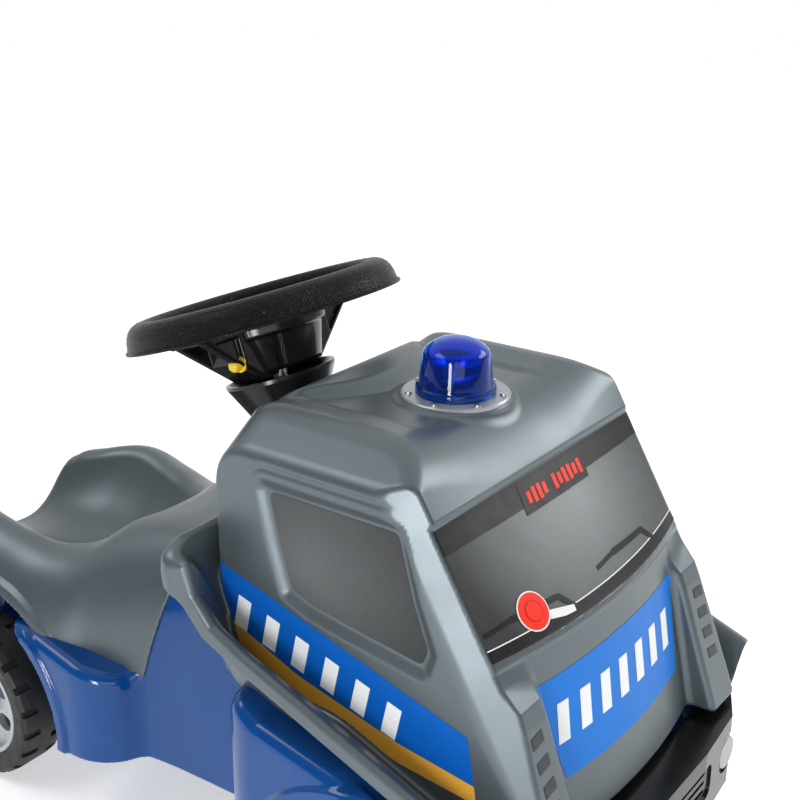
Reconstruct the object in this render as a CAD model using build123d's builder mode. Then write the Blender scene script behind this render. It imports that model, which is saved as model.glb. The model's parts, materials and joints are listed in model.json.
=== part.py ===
"""A child's ride-on police truck, pushed along with the feet.

Millimetres. +X is forward, +Y is left and +Z is up; the origin is on the ground at the middle of the
length. Two hollow grey shells, a cab and a seat, stand on a blue chassis. The steering wheel turns an
inclined shaft, whose crank slides a steering plate that turns both front knuckles.
"""
import os
from math import cos, radians, sin, tan

from build123d import *

# ---------------------------------------------------------------- driving dimensions
HALF_LENGTH = 382
WALL = 4
RUN_GAP = 0.06  # radial clearance of every running fit
SLOT_GAP = 0.7  # play of a pin in the steering plate, each side

# wheels
WHEEL_R = 75
WHEEL_HALF_W = 24
FRONT_WHEEL_Y = 160
REAR_WHEEL_Y = 134
RIM_R = 54
AXLE_R = 5
AXLE_Z = WHEEL_R
FRONT_X = 235
REAR_X = -240
ARCH_R = 106
BAY_HALF_W = 92  # inner wall of the wheel bays

# front shell
CAB_REAR_X = 80
CAB_HALF_W = 147
ROOF_Z = 422  # flat floor of the roof recess, which the beacon stands on
ROOF_RIM_Z = 431
LEDGE_HALF_W = 188
CAB_SIDE = [
    (CAB_REAR_X, 236), (CAB_REAR_X, ROOF_RIM_Z), (216, ROOF_RIM_Z), (259, 384), (314, 302), (323, 262),
    (342, 190), (342, 166), (200, 222), (118, 240),
]
LEDGE_SIDE = [
    (57, 252), (57, 332), (64, 338), (74, 338), (92, 302), (134, 272), (210, 244), (340, 196), (358, 180),
    (350, 160), (200, 206), (116, 225), (93, 238),
]
WINDOW = [(114, 378), (236, 378), (262, 292), (176, 302), (140, 316)]
CHEEK = [(308, 294), (320, 288), (330, 270), (336, 258), (356, 198), (356, 180), (330, 180), (318, 240)]

# seat shell: station X, crest half width, crest height, middle height, skirt half width
SEAT_STATIONS = [
    (-381, 44, 186, 168, 108),
    (-352, 56, 215, 172, 132),
    (-312, 69, 227, 174, 145),
    (-268, 87, 236, 173, 150),
    (-222, 85, 228, 173, 150),
    (-178, 75, 223, 182, 146),
    (-145, 58, 231, 208, 138),
    (-118, 34, 252, 250, 124),
    (-82, 27, 262, 264, 114),
    (-42, 28, 266, 268, 108),
    (-2, 32, 271, 273, 106),
    (38, 38, 277, 279, 105),
    (77, 44, 283, 285, 104),
]
SEAT_BOTTOM = [(-400, 168), (-378, 168), (-165, 164), (-60, 142), (-40, 226), (100, 226)]
SEAT_ARCH_R = 117

# chassis
TUNNEL_HALF_W = 103
FLOOR_Z = 60
DECK_Z = 108  # raised floor over the steering gear
FENDER_HALF_W = 180
CHASSIS_TOP = [(92, 240), (116, 226), (200, 207), (348, 154)]
FRONT_SIDE = [(92, FLOOR_Z), *CHASSIS_TOP, (356, FLOOR_Z)]
REAR_SIDE = [(-368, FLOOR_Z), (-378, 168), (-165, 164), (-60, 142), (-62, FLOOR_Z)]
TUNNEL_SIDE = [(-110, FLOOR_Z), (-110, 150), (-60, 142), (-40, 226), (92, 226), (92, FLOOR_Z)]
TUNNEL_HOLLOW = [(-104, 50), (-104, 146), (-64, 136), (-44, 222), (88, 222), (88, 50)]

# steering
TILT = 19  # the column leans back from the vertical, in degrees
HUB = (-8, 462)  # centre of the steering wheel, X and Z
STEER_R = 115
SHAFT_R = 6
CRANK_Z = 88
CRANK = 34.2
KINGPIN_Y = 112
KINGPIN_R = 4
ARM = 42
PIN_R = 3
PLATE_Z = 70
PLATE_T = 4
LUG_R = 10
BEAM_LOW_Z = 80
BARREL_R = 9

# beacon
BEACON_X = 185
BEACON_RING_R = 41
BEACON_R = 31
BEACON_H = 46
RING_T = 3
SCREWS = 7

os.makedirs("parts", exist_ok=True)


def save(part, name):
    """Labels a finished piece and writes its STEP file."""
    part.label = name
    export_step(part, f"parts/{name}.step")


def side_block(points, half_w, inset=0, soft=0):
    """A block with the given side outline, its corners rounded and its faces moved in by inset."""
    with BuildPart() as block:
        with BuildSketch(Plane.XZ) as face:
            with BuildLine():
                Polyline(*points, close=True)
            make_face()
            if inset:
                offset(amount=-inset, kind=Kind.INTERSECTION)
            if soft > inset:
                fillet(face.vertices(), soft - inset)
        extrude(amount=half_w - inset, both=True)
    return block.part


def across(x, z, radius, y0, y1):
    """A rod or bore along Y between y0 and y1."""
    with BuildPart() as rod:
        with BuildSketch(Plane(origin=(x, min(y0, y1), z), z_dir=(0, 1, 0))):
            Circle(radius)
        extrude(amount=abs(y1 - y0))
    return rod.part


def upright(x, y, radius, z0, z1):
    """A rod or bore along Z between z0 and z1."""
    with BuildPart() as rod:
        with BuildSketch(Plane.XY.offset(z0)):
            with Locations((x, y)):
                Circle(radius)
        extrude(amount=z1 - z0)
    return rod.part


LEAN = radians(TILT)
SHAFT_UP = (-sin(LEAN), 0, cos(LEAN))
SHAFT_FORWARD = (cos(LEAN), 0, sin(LEAN))


def on_shaft(along):
    """Plane across the steering axis, that far above the wheel's centre; its x is forward."""
    origin = (HUB[0] + SHAFT_UP[0] * along, 0, HUB[1] + SHAFT_UP[2] * along)
    return Plane(origin=origin, x_dir=SHAFT_FORWARD, z_dir=SHAFT_UP)


def level(z):
    """Distance along the steering axis from the wheel's centre to height z."""
    return (z - HUB[1]) / cos(LEAN)


HUB_AXIS = Axis((HUB[0], 0, HUB[1]), SHAFT_UP)
HUB_SECTION = Plane(origin=(HUB[0], 0, HUB[1]), x_dir=SHAFT_FORWARD, z_dir=(0, -1, 0))


# ---------------------------------------------------------------- front shell: cab and ledge
def cab_form(inset):
    """The cab as a solid, with every face moved in by inset."""
    with BuildPart() as cab:
        add(side_block(CAB_SIDE, CAB_HALF_W, inset, 9))
        # sloping shoulders along the roof
        with BuildSketch(Plane.YZ) as front:
            with BuildLine():
                Polyline(
                    (-CAB_HALF_W, 150), (-CAB_HALF_W + 0.6, 408), (-110, ROOF_RIM_Z),
                    (110, ROOF_RIM_Z), (CAB_HALF_W - 0.6, 408), (CAB_HALF_W, 150), close=True,
                )
            make_face()
            if inset:
                offset(amount=-inset, kind=Kind.INTERSECTION)
        extrude(amount=400, mode=Mode.INTERSECT)
        # rounded rear corners
        with BuildSketch(Plane.XY):
            with Locations(((CAB_REAR_X + 400) / 2, 0)):
                RectangleRounded(400 - CAB_REAR_X - 2 * inset, 2 * (CAB_HALF_W + 0.7 - inset), 24 - inset)
        extrude(amount=500, mode=Mode.INTERSECT)
    return cab.part


with BuildPart() as roof_floor:
    add(cab_form(1))
    with BuildSketch(Plane.XY.offset(ROOF_Z - WALL)):
        with Locations((162, 0)):
            Rectangle(148, 166)
    extrude(amount=WALL + 20, mode=Mode.INTERSECT)

with BuildPart() as front_shell:
    add(cab_form(0))
    add(side_block(LEDGE_SIDE, LEDGE_HALF_W, 0, 3))
    # the cheeks stand forward of the middle panel at both front corners
    for side in (-1, 1):
        with BuildSketch(Plane.XZ.offset(-side * 104)):
            with BuildLine():
                Polyline(*CHEEK, close=True)
            make_face()
        extrude(amount=-side * 46)
    add(cab_form(WALL), mode=Mode.SUBTRACT)
    add(side_block(LEDGE_SIDE, LEDGE_HALF_W, WALL), mode=Mode.SUBTRACT)
    add(roof_floor.part)
    # the roof's flat recess round the beacon
    with BuildSketch(Plane.XY.offset(ROOF_Z)):
        with Locations((170, 0)):
            RectangleRounded(150, 150, 14)
    extrude(amount=20, mode=Mode.SUBTRACT)
    # the side windows are shallow pockets, backed from inside
    for side in (-1, 1):
        with BuildSketch(Plane.XZ.offset(-side * (CAB_HALF_W - 3))):
            with BuildLine():
                Polyline(*WINDOW, close=True)
            make_face()
            offset(amount=3)
        extrude(amount=side * 5)
        with BuildSketch(Plane.XZ.offset(-side * (CAB_HALF_W + 2))):
            with BuildLine():
                Polyline(*WINDOW, close=True)
            make_face()
        extrude(amount=side * 6, mode=Mode.SUBTRACT)
    # open below where it stands on the chassis, and clear of the steering column behind
    with BuildSketch(Plane.XZ):
        with BuildLine():
            Polyline((86, 240), *CHASSIS_TOP, (348, 120), (86, 120), close=True)
        make_face()
    extrude(amount=LEDGE_HALF_W - WALL + 1, both=True, mode=Mode.SUBTRACT)
    with Locations((CAB_REAR_X - 19, 0, 300)):
        Box(40, 224, 120, mode=Mode.SUBTRACT)
    # holes for the beacon's screws and its wires
    with Locations((BEACON_X, 0, ROOF_Z)):
        with PolarLocations(36, SCREWS, start_angle=175):
            Hole(1.6, depth=12)
        Hole(12, depth=12)
save(front_shell.part, "front_shell")
print("front shell", len(front_shell.solids()))


# ---------------------------------------------------------------- seat shell
def seat_section(x, crest_y, crest_z, mid_z, skirt_y, inset):
    """Closed outline across the seat at one station, moved in by inset."""
    out = skirt_y - crest_y
    half = [
        (skirt_y, 120),
        (skirt_y, 150),
        (crest_y + out * 0.86, 150 + (crest_z - 150) * 0.46),
        (crest_y + out * 0.50, 150 + (crest_z - 150) * 0.86),
        (crest_y, crest_z),
        (crest_y * 0.62, mid_z + (crest_z - mid_z) * 0.42),
    ]
    points = half + [(0, mid_z)] + [(-y, z) for y, z in reversed(half)]
    moved = [(y * (1 - inset / skirt_y), z - inset) for y, z in points]
    with BuildSketch(Plane.YZ.offset(x)) as section:
        with BuildLine():
            Spline(*moved)
            Line(moved[-1], moved[0])
        make_face()
    return section.sketch


def seat_form(inset):
    """Seat, tunnel and rear skirts as one lofted solid, moved in by inset."""
    sections = []
    for x, crest_y, crest_z, mid_z, skirt_y in SEAT_STATIONS:
        x_in = min(max(x, SEAT_STATIONS[0][0] + inset), SEAT_STATIONS[-1][0] - inset)
        sections.append(seat_section(x_in, crest_y, crest_z, mid_z, skirt_y, inset))
    return loft(sections)


with BuildPart() as seat_shell:
    add(seat_form(0))
    add(seat_form(WALL), mode=Mode.SUBTRACT)
    # lower edge, meeting the chassis, and the rear wheel arches
    with BuildSketch(Plane.XZ):
        with BuildLine():
            Polyline(*SEAT_BOTTOM, (100, 100), (-400, 100), close=True)
        make_face()
    extrude(amount=200, both=True, mode=Mode.SUBTRACT)
    for side in (-1, 1):
        add(across(REAR_X, AXLE_Z, SEAT_ARCH_R, side * BAY_HALF_W, side * 200), mode=Mode.SUBTRACT)
    # the way through for the steering shaft, along its own axis
    with BuildSketch(on_shaft(level(212))):
        Circle(12)
    extrude(amount=100, mode=Mode.SUBTRACT)
save(seat_shell.part, "seat_shell")
print("seat shell", len(seat_shell.solids()))

# ---------------------------------------------------------------- chassis
def plan_block(points, half_w, radius):
    """A block with the given side outline, rounded at its upright corners."""
    xs = [x for x, z in points]
    with BuildPart() as block:
        add(side_block(points, half_w))
        with BuildSketch(Plane.XY):
            with Locations(((min(xs) + max(xs)) / 2, 0)):
                RectangleRounded(max(xs) - min(xs), 2 * half_w + 0.4, radius)
        extrude(amount=400, mode=Mode.INTERSECT)
    return block.part


with BuildPart() as lower_body:
    add(plan_block(FRONT_SIDE, FENDER_HALF_W, 22))
    add(plan_block(REAR_SIDE, 145, 30))
    add(side_block(TUNNEL_SIDE, TUNNEL_HALF_W))
    # hollow from below: over the steering gear, round the rear axle and under the tunnel
    with BuildSketch(Plane.XY.offset(DECK_Z)):
        with Locations((221, 0)):
            Rectangle(258, 2 * (FENDER_HALF_W - WALL))
    extrude(amount=-80, mode=Mode.SUBTRACT)
    with BuildSketch(Plane.XY.offset(136)):
        with Locations((-215, 0)):
            Rectangle(286, 2 * (BAY_HALF_W - WALL))
    extrude(amount=-90, mode=Mode.SUBTRACT)
    add(side_block(TUNNEL_HOLLOW, TUNNEL_HALF_W - WALL), mode=Mode.SUBTRACT)
    # the inside of the cab is clear above the deck
    with BuildSketch(Plane.XZ):
        with BuildLine():
            Polyline((96, DECK_Z + WALL), (96, 300), (114, 280), (200, 236), (344, 180), (344, DECK_Z + WALL),
                     close=True)
        make_face()
    extrude(amount=BAY_HALF_W - WALL, both=True, mode=Mode.SUBTRACT)
    for side in (-1, 1):
        for x in (FRONT_X, REAR_X):
            add(across(x, AXLE_Z, ARCH_R, side * BAY_HALF_W, side * 200), mode=Mode.SUBTRACT)
    # the rear axle's way through, and the steering shaft's
    add(across(REAR_X, AXLE_Z, 9, -BAY_HALF_W - 1, BAY_HALF_W + 1), mode=Mode.SUBTRACT)
    with BuildSketch(on_shaft(level(98))):
        Circle(10)
    extrude(amount=30, mode=Mode.SUBTRACT)
    with BuildSketch(on_shaft(level(130))):
        Circle(12)
    extrude(amount=110, mode=Mode.SUBTRACT)
# moulded as three sections, bolted together where the tunnel meets the wheel bays
for name, x0, x1 in (("chassis_rear", -400, -62), ("chassis_tunnel", -62, 92), ("chassis_front", 92, 400)):
    with BuildPart() as section:
        add(lower_body.part)
        with Locations(((x0 + x1) / 2, 0, 200)):
            Box(x1 - x0, 500, 400, mode=Mode.INTERSECT)
    save(section.part, name)
    print(name, len(section.solids()))

# front bumper with its grille and lamps
with BuildPart() as front_bumper:
    with BuildSketch(Plane.XY.offset(92)):
        with BuildLine():
            Polyline((346, -150), (346, 150), (362, 150), (376, 120), (381, 60), (381, -60), (376, -120),
                     (362, -150), close=True)
        make_face()
    extrude(amount=62)
    add(side_block(FRONT_SIDE, FENDER_HALF_W), mode=Mode.SUBTRACT)
    with BuildSketch(Plane.YZ.offset(382)):
        with Locations((0, 124)):
            RectangleRounded(150, 30, 8)
    extrude(amount=-9, mode=Mode.SUBTRACT)
    for side in (-1, 1):
        with BuildSketch(Plane.YZ.offset(382)):
            with Locations((side * 112, 124)):
                Circle(17)
        extrude(amount=-14, mode=Mode.SUBTRACT)
save(front_bumper.part, "front_bumper")

with BuildPart() as grille:
    with BuildSketch(Plane.YZ.offset(373)):
        with Locations((0, 124)):
            RectangleRounded(150, 30, 8)
    extrude(amount=5)
    with BuildSketch(Plane.YZ.offset(375)):
        with Locations((0, 116), (0, 124), (0, 132)):
            RectangleRounded(132, 3.4, 1.6)
    extrude(amount=4, mode=Mode.SUBTRACT)
save(grille.part, "grille")

for side, name in ((-1, "right"), (1, "left")):
    with BuildPart() as lamp:
        with BuildSketch(Plane.YZ.offset(368)):
            with Locations((side * 112, 124)):
                Circle(17)
        extrude(amount=5)
        with BuildSketch(Plane.YZ.offset(373)):
            with Locations((side * 112, 124)):
                Circle(15)
        extrude(amount=4, taper=25)
    save(lamp.part, f"headlight_{name}")
print("front trim")

# ---------------------------------------------------------------- beacon
with BuildPart() as beacon_base:
    with BuildSketch(Plane.XY.offset(ROOF_Z)):
        with Locations((BEACON_X, 0)):
            Circle(BEACON_RING_R)
    extrude(amount=RING_T)
    chamfer(beacon_base.edges().filter_by(GeomType.CIRCLE).sort_by(Axis.Z)[-1:], 1)
    with BuildSketch(Plane.XY.offset(ROOF_Z + RING_T)):
        with Locations((BEACON_X, 0)):
            Circle(BEACON_R - 4)
    extrude(amount=6)
    add(upright(BEACON_X, 0, BEACON_R - 7, ROOF_Z + RING_T, ROOF_Z + 20), mode=Mode.SUBTRACT)
    add(upright(BEACON_X, 0, 14, ROOF_Z - 1, ROOF_Z + 20), mode=Mode.SUBTRACT)
    with Locations((BEACON_X, 0, ROOF_Z + RING_T)):
        with PolarLocations(36, SCREWS, start_angle=175):
            Hole(1.6, depth=8)
save(beacon_base.part, "beacon_base")

for i in range(SCREWS):
    turn = radians(175 + i * 360 / SCREWS)
    at = (BEACON_X + 36 * cos(turn), 36 * sin(turn))
    with BuildPart() as screw:
        with BuildSketch(Plane.XY.offset(ROOF_Z + RING_T)):
            with Locations(at):
                Circle(2.8)
        extrude(amount=1.6, taper=20)
        with BuildSketch(Plane.XY.offset(ROOF_Z + RING_T + 0.1)):
            with Locations(at):
                Circle(1.5)
        extrude(amount=-8)
        with BuildSketch(Plane.XY.offset(ROOF_Z + RING_T + 2)):
            with Locations(at):
                Rectangle(3, 0.7)
                Rectangle(0.7, 3)
        extrude(amount=-1.2, mode=Mode.SUBTRACT)
    save(screw.part, f"beacon_screw_{i + 1}")

DOME = [
    (BEACON_R + 1.5, RING_T + 0.4), (BEACON_R + 1.5, RING_T + 6), (BEACON_R - 1, RING_T + 6.5), (26, 38),
    (23, 42), (12, BEACON_H), (0, BEACON_H + 0.6), (0, BEACON_H - 1.6), (12, BEACON_H - 2.2), (21.5, 40),
    (24, 37), (BEACON_R - 3.4, RING_T + 6), (BEACON_R - 3.4, RING_T + 0.4),
]
with BuildPart() as beacon_dome:
    with BuildSketch(Plane.XZ):
        with BuildLine():
            Polyline(*[(BEACON_X + r, ROOF_Z + z) for r, z in DOME], close=True)
        make_face()
    revolve(axis=Axis((BEACON_X, 0, 0), (0, 0, 1)))
save(beacon_dome.part, "beacon_dome")

REFLECTOR = [(0, 1.5), (13.6, 1.5), (13.6, 18), (19, 27), (15, 28), (9, 20), (0, 20)]
with BuildPart() as beacon_reflector:
    with BuildSketch(Plane.XZ):
        with BuildLine():
            Polyline(*[(BEACON_X + r, ROOF_Z + z) for r, z in REFLECTOR], close=True)
        make_face()
    revolve(axis=Axis((BEACON_X, 0, 0), (0, 0, 1)))
save(beacon_reflector.part, "beacon_reflector")

LAMP = [(0, 20), (4, 20), (4, 27), (3, 29.4), (0, 30.2)]
with BuildPart() as beacon_lamp:
    with BuildSketch(Plane.XZ):
        with BuildLine():
            Polyline(*[(BEACON_X + r, ROOF_Z + z) for r, z in LAMP], close=True)
        make_face()
    revolve(axis=Axis((BEACON_X, 0, 0), (0, 0, 1)))
save(beacon_lamp.part, "beacon_lamp")

with BuildPart() as battery_box:
    with BuildSketch(Plane.XY.offset(ROOF_Z - WALL)):
        with Locations((BEACON_X, 0)):
            RectangleRounded(44, 50, 4)
    extrude(amount=-20)
    add(upright(BEACON_X, 0, 11, ROOF_Z - WALL - 1, ROOF_Z + 1.5))
save(battery_box.part, "battery_box")
print("beacon")

# ---------------------------------------------------------------- steering column
COLUMN_WEB = -98
seat_solid = seat_form(0)
with BuildPart() as steering_column:
    with BuildSketch(HUB_SECTION):
        with BuildLine():
            Polyline(
                (18.5, level(255)), (22, level(255)), (25, -150), (28, -100), (46, -64), (46, -61), (43, -61),
                (25, -99), (21.5, -149), close=True,
            )
        make_face()
    revolve(axis=HUB_AXIS)
    with BuildSketch(on_shaft(COLUMN_WEB)):
        Circle(26)
        Circle(10, mode=Mode.SUBTRACT)
    extrude(amount=5)
    # the foot follows the tunnel that it stands on, clear of the cab
    add(seat_solid, mode=Mode.SUBTRACT)
    add(side_block([(76.9, 200), (76.9, 300), (130, 300), (130, 200)], 60), mode=Mode.SUBTRACT)
save(steering_column.part, "steering_column")


def shaft_bush(low, high):
    """A plain bush round the steering shaft."""
    with BuildPart() as bush:
        with BuildSketch(on_shaft(low)):
            Circle(10)
            Circle(SHAFT_R + RUN_GAP, mode=Mode.SUBTRACT)
        extrude(amount=high - low)
    return bush.part


save(shaft_bush(COLUMN_WEB - 2, COLUMN_WEB + 7), "bush_upper")
save(shaft_bush(level(105), level(116)), "bush_lower")

# ---------------------------------------------------------------- steering wheel, its box and its shaft
with BuildPart() as steering_wheel:
    with BuildSketch(HUB_SECTION) as rim_section:
        with BuildLine():
            Polyline(
                (92, -17), (113, -17), (115, -14), (115, 3), (111, 11), (103, 14), (94, 12), (88, 4),
                (88, -13), close=True,
            )
        make_face()
    revolve(axis=HUB_AXIS)
    with BuildSketch(on_shaft(-20)):
        Circle(46)
    extrude(amount=14)
    with BuildSketch(on_shaft(-16)):
        with Locations((0, 66), (0, -66)):
            Rectangle(40, 50)
        with Locations((-66, 0)):
            Rectangle(50, 34)
    extrude(amount=9)
    with BuildSketch(on_shaft(-36)):
        Circle(15)
    extrude(amount=17)
    with BuildSketch(HUB_SECTION):
        with BuildLine():
            Polyline((94, -18), (110, -18), (110, 1), (107, 7), (103, 9), (96, 7), (93, 1), close=True)
        make_face()
    revolve(axis=HUB_AXIS, mode=Mode.SUBTRACT)
    with BuildSketch(on_shaft(-40)):
        Circle(SHAFT_R)
    extrude(amount=30, mode=Mode.SUBTRACT)
    with BuildSketch(on_shaft(-9)):
        Circle(34)
    extrude(amount=10, mode=Mode.SUBTRACT)
save(steering_wheel.part, "steering_wheel")

with BuildPart() as hub_cap:
    with BuildSketch(on_shaft(-9)):
        Circle(34)
    extrude(amount=9, taper=12)
save(hub_cap.part, "hub_cap")

BUTTON_FORWARD = 12
BUTTON_ALONG = -43
with BuildPart() as sound_box:
    with BuildSketch(on_shaft(-56)):
        RectangleRounded(80, 92, 14)
    extrude(amount=36)
    with BuildSketch(on_shaft(-53)):
        RectangleRounded(74, 86, 11)
    extrude(amount=33, mode=Mode.SUBTRACT)
    with BuildSketch(on_shaft(-56)):
        Circle(19)
    extrude(amount=36)
    with BuildSketch(on_shaft(-57)):
        Circle(15.2)
    extrude(amount=40, mode=Mode.SUBTRACT)
    # a round socket for the horn button, in the right-hand wall
    socket = on_shaft(BUTTON_ALONG).location * Location((BUTTON_FORWARD, -46, 0), (90, 0, 0))
    with BuildSketch(Plane(socket)):
        Circle(11)
    extrude(amount=-16)
    with BuildSketch(Plane(socket)):
        Circle(8.4)
    extrude(amount=-13, mode=Mode.SUBTRACT)
    with BuildSketch(Plane(socket)):
        Circle(8.4)
    extrude(amount=2, mode=Mode.SUBTRACT)
save(sound_box.part, "sound_box")

with BuildPart() as horn_button:
    with BuildSketch(Plane(socket)):
        Circle(8)
    extrude(amount=5)
    chamfer(horn_button.edges().sort_by(Axis.Y)[:1], 1)
    with BuildSketch(Plane(socket)):
        Circle(8)
    extrude(amount=-8)
save(horn_button.part, "horn_button")

with BuildPart() as steering_shaft:
    with BuildSketch(on_shaft(level(CRANK_Z) - 4)):
        Circle(SHAFT_R)
    extrude(amount=-10 - level(CRANK_Z) + 4)
save(steering_shaft.part, "steering_shaft")

with BuildPart() as steering_crank:
    with BuildSketch(on_shaft(level(CRANK_Z) - 3)):
        with Locations((CRANK / 2, 0)):
            SlotCenterToCenter(CRANK, 18)
        Circle(SHAFT_R, mode=Mode.SUBTRACT)
    extrude(amount=6)
    with BuildSketch(on_shaft(level(CRANK_Z) - 34.5)):
        with Locations((CRANK, 0)):
            Circle(PIN_R)
    extrude(amount=34)
save(steering_crank.part, "steering_crank")
print("steering")

with BuildPart() as steering_plate:
    with BuildSketch(Plane.XY.offset(PLATE_Z)):
        with Locations((275, 0)):
            RectangleRounded(26, 246, 8)
        with Locations((206, 0)):
            RectangleRounded(128, 34, 8)
        with Locations((159.1, 0)):
            SlotCenterToCenter(11, 2 * (PIN_R + SLOT_GAP), mode=Mode.SUBTRACT)
        with Locations((274.5, KINGPIN_Y), (274.5, -KINGPIN_Y)):
            SlotCenterToCenter(8, 2 * (PIN_R + SLOT_GAP), mode=Mode.SUBTRACT)
        with Locations((210, 0), (238, 0)):
            Circle(9, mode=Mode.SUBTRACT)
    extrude(amount=PLATE_T)
save(steering_plate.part, "steering_plate")

# ---------------------------------------------------------------- front axle
with BuildPart() as front_beam:
    for z in (BEAM_LOW_Z, DECK_Z - 4):
        with BuildSketch(Plane.XY.offset(z)):
            with Locations(Location((FRONT_X, 0), 90)):
                SlotCenterToCenter(2 * KINGPIN_Y, 2 * LUG_R)
        extrude(amount=4)
    with BuildSketch(Plane.XY.offset(BEAM_LOW_Z)):
        with Locations((FRONT_X, 0)):
            Rectangle(12, 2 * KINGPIN_Y - 32)
    extrude(amount=DECK_Z - BEAM_LOW_Z)
    for side in (-1, 1):
        add(upright(FRONT_X, side * KINGPIN_Y, KINGPIN_R, 70, 120), mode=Mode.SUBTRACT)
save(front_beam.part, "front_beam")

for side, name in ((-1, "right"), (1, "left")):
    pin_y = side * KINGPIN_Y
    with BuildPart() as kingpin:
        add(upright(FRONT_X, pin_y, KINGPIN_R, BEAM_LOW_Z - 3, DECK_Z + 1))
        add(upright(FRONT_X, pin_y, 6.5, BEAM_LOW_Z - 3, BEAM_LOW_Z))
    save(kingpin.part, f"kingpin_{name}")
    with BuildPart() as knuckle:
        add(upright(FRONT_X, pin_y, BARREL_R, BEAM_LOW_Z + 4.3, DECK_Z - 4.3))
        with BuildSketch(Plane.XY.offset(86)):
            with Locations((FRONT_X, side * (KINGPIN_Y + 8))):
                Rectangle(12, 14)
        extrude(amount=16)
        with BuildSketch(Plane.XY.offset(66)):
            with Locations((FRONT_X, side * (KINGPIN_Y + 16.25))):
                Rectangle(20, 7.5)
        extrude(amount=36)
        with BuildSketch(Plane.XY.offset(86)):
            with Locations((FRONT_X + ARM / 2, pin_y)):
                SlotCenterToCenter(ARM, 14)
        extrude(amount=5)
        add(upright(FRONT_X + ARM, pin_y, PIN_R, 66, 87))
        add(across(FRONT_X, AXLE_Z, AXLE_R, side * 131, side * (FRONT_WHEEL_Y + 20)))
        add(upright(FRONT_X, pin_y, KINGPIN_R + RUN_GAP, 60, 120), mode=Mode.SUBTRACT)
    save(knuckle.part, f"knuckle_{name}")

# ---------------------------------------------------------------- rear axle
save(across(REAR_X, AXLE_Z, AXLE_R, -REAR_WHEEL_Y - 20, REAR_WHEEL_Y + 20), "rear_axle")
for side, name in ((-1, "right"), (1, "left")):
    with BuildPart() as bush:
        add(across(REAR_X, AXLE_Z, 9, side * (BAY_HALF_W - 8), side * (BAY_HALF_W + 2)))
        add(across(REAR_X, AXLE_Z, 13, side * (BAY_HALF_W - 8), side * (BAY_HALF_W - 4)))
        add(across(REAR_X, AXLE_Z, AXLE_R, side * 80, side * 100), mode=Mode.SUBTRACT)
    save(bush.part, f"axle_bush_{name}")


# ---------------------------------------------------------------- wheels
def turned(x, side, y_mid, section):
    """A ring turned about the wheel axis; section is radius and distance outward from the middle."""
    with BuildPart() as ring:
        with BuildSketch(Plane.XY.offset(AXLE_Z)):
            with BuildLine():
                Polyline(*[(x + r, side * (y_mid + t)) for r, t in section], close=True)
            make_face()
        revolve(axis=Axis((x, 0, AXLE_Z), (0, 1, 0)))
    return ring.part


TYRE = [
    (RIM_R, -20), (RIM_R, 20), (60, 23), (70, WHEEL_HALF_W), (74, 20), (WHEEL_R, 14), (WHEEL_R, -14), (74, -20),
    (70, -WHEEL_HALF_W), (60, -23),
]
CAP = [(20, 16), (20, 19), (16, 22.6), (0, 24), (0, 22), (14, 20.8), (17, 18), (17, 16)]
NUT = [(AXLE_R, 14.3), (9, 14.3), (9, 16.3), (AXLE_R, 17.3)]

for x, y_mid, hub_in, end in ((FRONT_X, FRONT_WHEEL_Y, -27.7, "front"), (REAR_X, REAR_WHEEL_Y, -39.7, "rear")):
    for side, hand in ((-1, "right"), (1, "left")):
        with BuildPart() as tyre:
            add(turned(x, side, y_mid, TYRE))
            for t in (-15, 15):
                with BuildSketch(Plane(origin=(x, side * (y_mid + t), AXLE_Z), z_dir=(0, 1, 0))):
                    with PolarLocations(WHEEL_R, 20, start_angle=4.5 + t * 0.3):
                        Rectangle(7, 7)
                extrude(amount=9, both=True, mode=Mode.SUBTRACT)
        save(tyre.part, f"tyre_{end}_{hand}")
        with BuildPart() as rim:
            bore = AXLE_R + RUN_GAP
            profile = [
                (bore, hub_in), (12, hub_in), (12, 6), (48, 6), (48, -20), (RIM_R, -20), (RIM_R, 20), (50, 20),
                (48, 12), (20, 12), (20, 16), (17, 16), (17, 12), (13, 12), (13, 14), (bore, 14),
            ]
            add(turned(x, side, y_mid, profile))
            with BuildSketch(Plane(origin=(x, side * y_mid, AXLE_Z), z_dir=(0, side, 0))):
                with PolarLocations(34, 6):
                    Circle(9)
            extrude(amount=20, mode=Mode.SUBTRACT)
        save(rim.part, f"rim_{end}_{hand}")
        save(turned(x, side, y_mid, CAP), f"wheel_cap_{end}_{hand}")
        save(turned(x, side, y_mid, NUT), f"axle_nut_{end}_{hand}")
print("wheels")
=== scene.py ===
import json
import math

import bmesh
import bpy
import numpy as np
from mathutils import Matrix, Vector
from mathutils.geometry import delaunay_2d_cdt


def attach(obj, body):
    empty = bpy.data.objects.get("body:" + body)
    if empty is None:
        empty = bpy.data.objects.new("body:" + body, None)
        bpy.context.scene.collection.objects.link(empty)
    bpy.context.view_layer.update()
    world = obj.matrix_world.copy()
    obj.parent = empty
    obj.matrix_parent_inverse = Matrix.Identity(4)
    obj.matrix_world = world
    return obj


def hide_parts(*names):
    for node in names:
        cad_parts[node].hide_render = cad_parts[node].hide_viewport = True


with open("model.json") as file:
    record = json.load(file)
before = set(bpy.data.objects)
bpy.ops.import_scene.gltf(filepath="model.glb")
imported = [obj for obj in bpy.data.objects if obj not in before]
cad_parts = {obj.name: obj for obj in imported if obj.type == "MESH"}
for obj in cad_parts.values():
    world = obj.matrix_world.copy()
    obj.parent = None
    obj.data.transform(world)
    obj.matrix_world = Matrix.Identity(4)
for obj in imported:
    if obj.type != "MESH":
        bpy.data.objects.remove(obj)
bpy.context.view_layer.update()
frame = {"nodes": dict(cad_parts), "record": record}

MM = 0.001
WHITE = (1, 1, 1, 1)
NODES = frame["nodes"]


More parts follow.
